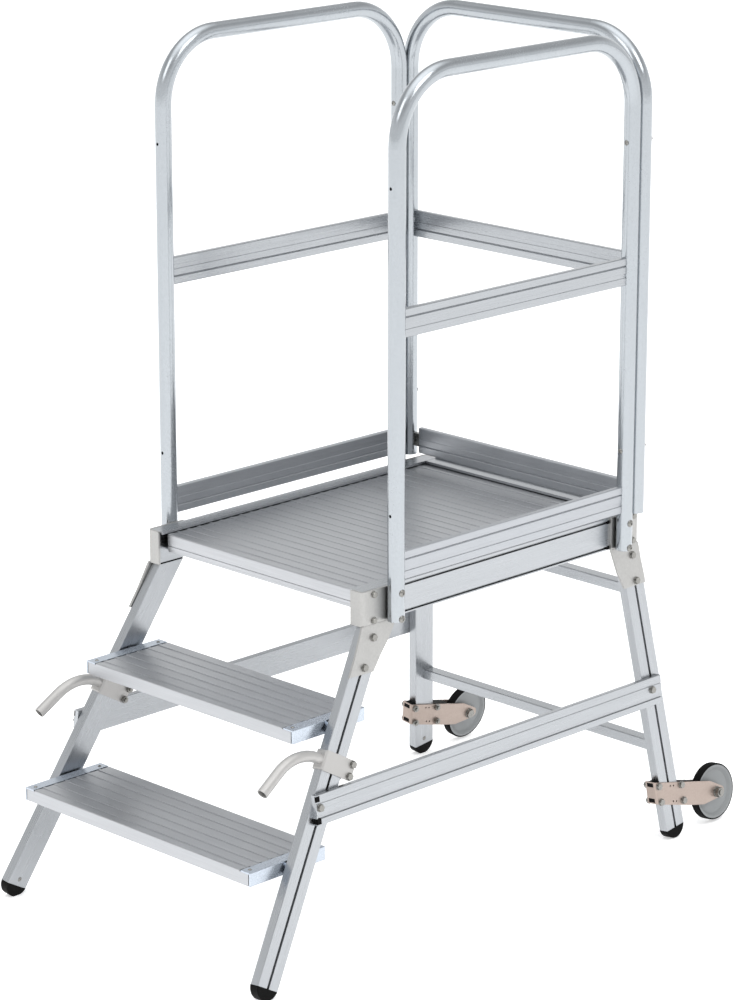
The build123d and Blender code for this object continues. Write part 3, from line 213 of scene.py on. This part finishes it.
def moulded(name, colour, roughness, grain=700.0, depth=0.00004):
    """Moulded plastic or rubber: fine grain, dusty high edges, patchy gloss."""
    material, tree, shader = new_material(name)
    vector = object_vector(tree)
    fine = noise(tree, vector, grain, 3.0)
    patch = noise(tree, vector, 14.0, 5.0)
    edges, soft_normal = edge_mask(tree, MOULDED_EDGE)
    dusty = tuple(channel * 0.8 + 0.003 for channel in colour)
    shade = mix_colours(tree, remap(tree, patch, 0.4, 0.75, 0.0, 0.35), colour, dusty)
    shade = mix_colours(tree, math_node(tree, "MULTIPLY", edges, 0.5), shade, dusty)
    tree.links.new(shade, shader.inputs["Base Color"])
    rough = remap(tree, patch, *NOISE_SPAN, roughness - 0.08, roughness + 0.1)
    tree.links.new(rough, shader.inputs["Roughness"])
    shader.inputs["Specular IOR Level"].default_value = MOULDED_SPECULAR
    tree.links.new(bump(tree, fine, depth, soft_normal, 0.7), shader.inputs["Normal"])
    return material


def coated(name, colour, roughness):
    """Light metallic coating: orange-peel bump, patchy tone and paler worn edges."""
    material, tree, shader = new_material(name)
    vector = object_vector(tree)
    peel = noise(tree, vector, 420.0, 2.0)
    patch = noise(tree, vector, 12.0, 4.0)
    edges, soft_normal = edge_mask(tree, COATED_EDGE)
    worn = tuple(min(1.0, channel * 1.1 + 0.03) for channel in colour)
    low = tuple(channel * 0.92 for channel in colour)
    shade = mix_colours(tree, remap(tree, patch, 0.35, 0.7, 0.0, 1.0), low, colour)
    shade = mix_colours(tree, math_node(tree, "MULTIPLY", edges, 0.6), shade, worn)
    tree.links.new(shade, shader.inputs["Base Color"])
    rough = remap(tree, patch, *NOISE_SPAN, roughness - 0.05, roughness + 0.05)
    tree.links.new(rough, shader.inputs["Roughness"])
    shader.inputs["Metallic"].default_value = COATED_METALLIC
    tree.links.new(bump(tree, peel, COATED_BUMP, soft_normal, 0.5), shader.inputs["Normal"])
    return material


def long_axis(node_name):
    """Direction of a straight piece's length, from the spread of its vertices."""
    points = np.array([vertex.co for vertex in nodes[node_name].data.vertices], float)
    points -= points.mean(axis=0)
    directions = np.linalg.eigh(points.T @ points)[1]
    return tuple(directions[:, -1])


def paint(node_name, material):
    """Give a CAD node one material."""
    slots = nodes[node_name].data.materials
    slots.clear()
    slots.append(material)


def names_starting(*prefixes):
    """Names of the CAD nodes that begin with any of these, in order."""
    return sorted(name for name in nodes if name.startswith(prefixes))


def paint_all(material, *prefixes):
    """Give one material to every CAD node whose name begins with any of these."""
    for node_name in names_starting(*prefixes):
        paint(node_name, material)


# Extrusions: each one has its draw lines along its own length.
EXTRUSIONS = (
    (PROFILE_METAL, ("leg_", "side_beam", "rear_beam", "side_brace", "cross_member")),
    (BOARD_METAL, ("mid_rail",)),
    (TOE_BOARD_METAL, ("toe_board_left", "toe_board_right", "toe_board_rear")),
)
for metal, prefixes in EXTRUSIONS:
    for node_name in names_starting(*prefixes):
        paint(node_name, drawn_metal(node_name + "_metal", metal, long_axis(node_name)))

tube_metal = drawn_metal("tube_metal", TUBE_METAL, (0, 0, 1), streaks=False)
paint_all(tube_metal, "guardrail_left", "guardrail_right", "guardrail_rear")

deck_metal = drawn_metal("deck_metal", DECK_METAL, (1, 0, 0))
paint_all(deck_metal, "deck_")
tread_metal = drawn_metal("tread_metal", TREAD_METAL, (1, 0, 0))
paint_all(tread_metal, "tread_upper", "tread_lower")

cap_metal = drawn_metal("cap_metal", CAP_METAL, (0, 1, 0), streaks=False)
paint_all(cap_metal, "tread_caps", "tread_wedges")
bracket_metal = drawn_metal("bracket_metal", BRACKET_METAL, (0, 0, 1), streaks=False)
paint_all(bracket_metal, "corner_bracket")
wheel_bracket_metal = drawn_metal("wheel_bracket_metal", WHEEL_BRACKET_METAL, (0, 1, 0), streaks=False)
paint_all(wheel_bracket_metal, "wheel_bracket")
fastener_metal = drawn_metal("fastener_metal", FASTENER_METAL, (0, 0, 1), streaks=False)
paint_all(
    fastener_metal,
    "guardrail_bolts", "bracket_bolts", "brace_bolts", "clamp_bolts", "hex_nuts", "joining_screws",
    "tread_bolts", "cap_screws", "foot_rivets", "axle", "wheel_bush", "toe_board_clips")

handle_coat = coated("handle_coat", HANDLE_COLOUR, 0.44)
paint_all(handle_coat, "lift_handle")
# the feet are black plastic; the profile plugs are black blocks at the open ends of grooves, a painted
# shade where there is only shadow
black_plastic = moulded("black_plastic", BLACK_FOR_PLASTIC_AND_SHADE, 0.55)
paint_all(black_plastic, "foot_front", "foot_rear", "profile_plugs")
tyre_rubber = moulded("tyre_rubber", RUBBER_BLACK, 0.7, grain=1100.0, depth=0.00006)
paint_all(tyre_rubber, "tyre")
rim_plastic = moulded("rim_plastic", RIM_GREY, 0.5)
paint_all(rim_plastic, "wheel_rim")

# ---------------------------------------------------------------- floor
FLOOR_RADIUS = 60.0
FLOOR_CORNERS = 96
FLOOR_COLOUR = (0.93, 0.93, 0.93)
FLOOR_MOTTLE = 0.985            # the darker patches' share of that colour
FLOOR_ROUGHNESS = 0.9
FLOOR_SPECULAR = 0.1
FLOOR_GLOW = 0.43               # backlit like a light table, so shadows stay faint


def floor_material():
    """Pale smooth backlit floor with a barely visible mottle."""
    material, tree, shader = new_material("floor_paint")
    mottle = noise(tree, object_vector(tree), 3.0, 6.0)
    darker = tuple(channel * FLOOR_MOTTLE for channel in FLOOR_COLOUR)
    shade = mix_colours(tree, mottle, darker, FLOOR_COLOUR)
    tree.links.new(shade, shader.inputs["Base Color"])
    shader.inputs["Roughness"].default_value = FLOOR_ROUGHNESS
    shader.inputs["Specular IOR Level"].default_value = FLOOR_SPECULAR
    shader.inputs["Emission Color"].default_value = (1.0, 1.0, 1.0, 1.0)
    shader.inputs["Emission Strength"].default_value = FLOOR_GLOW
    return material


bpy.ops.mesh.primitive_circle_add(
    vertices=FLOOR_CORNERS, radius=FLOOR_RADIUS, fill_type="NGON", location=(0, 0, 0))
floor = bpy.context.object
floor.name = "studio_floor"
floor.data.materials.append(floor_material())

# ---------------------------------------------------------------- light
# The dome's brightness by height: 0 is the horizon, 1 is straight up.
SKY_STOPS = (
    (0.0, 1.05), (0.26, 1.15), (0.38, 0.90), (0.60, 0.60), (0.74, 0.68), (0.86, 1.5), (1.0, 2.3))
SKY_TINT = (0.985, 0.995, 1.0)
SKY_PEAK = 2.3                  # the brightest stop
SOFTBOX_DISTANCE = 7.0
SOFTBOX_SIZE = 3.0
# Each softbox: name, degrees round from the front towards the right, degrees up, watts.
SOFTBOXES = (("key_softbox", 95.0, 50.0, 90.0), ("fill_softbox", 0.0, 45.0, 60.0))


def studio_world():
    """Soft dome with a bright top, a grey band at mid height and a pale horizon."""
    world = bpy.data.worlds.new("studio")
    bpy.context.scene.world = world
    world.use_nodes = True
    tree = world.node_tree
    tree.nodes.clear()
    output = tree.nodes.new("ShaderNodeOutputWorld")
    background = tree.nodes.new("ShaderNodeBackground")
    coordinates = tree.nodes.new("ShaderNodeTexCoord")
    separate = tree.nodes.new("ShaderNodeSeparateXYZ")
    tree.links.new(coordinates.outputs["Generated"], separate.inputs["Vector"])
    ramp = tree.nodes.new("ShaderNodeValToRGB")
    ramp.color_ramp.interpolation = "B_SPLINE"
    stops = ramp.color_ramp.elements
    while len(stops) < len(SKY_STOPS):
        stops.new(0.5)
    for stop, (height, brightness) in zip(stops, SKY_STOPS):
        stop.position = height
        stop.color = (*(brightness / SKY_PEAK * channel for channel in SKY_TINT), 1.0)
    tree.links.new(separate.outputs["Z"], ramp.inputs["Fac"])
    tree.links.new(ramp.outputs["Color"], background.inputs["Color"])
    background.inputs["Strength"].default_value = SKY_PEAK
    tree.links.new(background.outputs["Background"], output.inputs["Surface"])


def softbox(name, azimuth, elevation, power):
    """Square area light aimed at the object from a direction in degrees."""
    light = bpy.data.lights.new(name, "AREA")
    light.shape = "SQUARE"
    light.size = SOFTBOX_SIZE
    light.energy = power
    lamp = bpy.data.objects.new(name, light)
    bpy.context.scene.collection.objects.link(lamp)
    turn, rise = math.radians(azimuth), math.radians(elevation)
    outwards = Vector((
        math.sin(turn) * math.cos(rise),
        -math.cos(turn) * math.cos(rise),
        math.sin(rise),
    ))
    lamp.location = LOOK_AT + outwards * SOFTBOX_DISTANCE
    lamp.rotation_euler = outwards.to_track_quat("Z", "Y").to_euler()


studio_world()
for box_name, azimuth, elevation, watts in SOFTBOXES:
    softbox(box_name, azimuth, elevation, watts)

# ---------------------------------------------------------------- camera
camera_data = bpy.data.cameras.new("camera")
camera_data.sensor_fit = "VERTICAL"
camera_data.sensor_height = SENSOR
camera_data.sensor_width = SENSOR
camera_data.lens = CAMERA_LENS
camera_data.clip_end = CAMERA_REACH
camera = bpy.data.objects.new("camera", camera_data)
bpy.context.scene.collection.objects.link(camera)
back = Vector((
    math.sin(CAMERA_AZIMUTH) * math.cos(CAMERA_ELEVATION),
    -math.cos(CAMERA_AZIMUTH) * math.cos(CAMERA_ELEVATION),
    math.sin(CAMERA_ELEVATION),
))
camera.location = LOOK_AT + back * CAMERA_DISTANCE
camera.rotation_euler = back.to_track_quat("Z", "Y").to_euler()
bpy.context.scene.camera = camera
bpy.context.scene.view_settings.view_transform = "Standard"
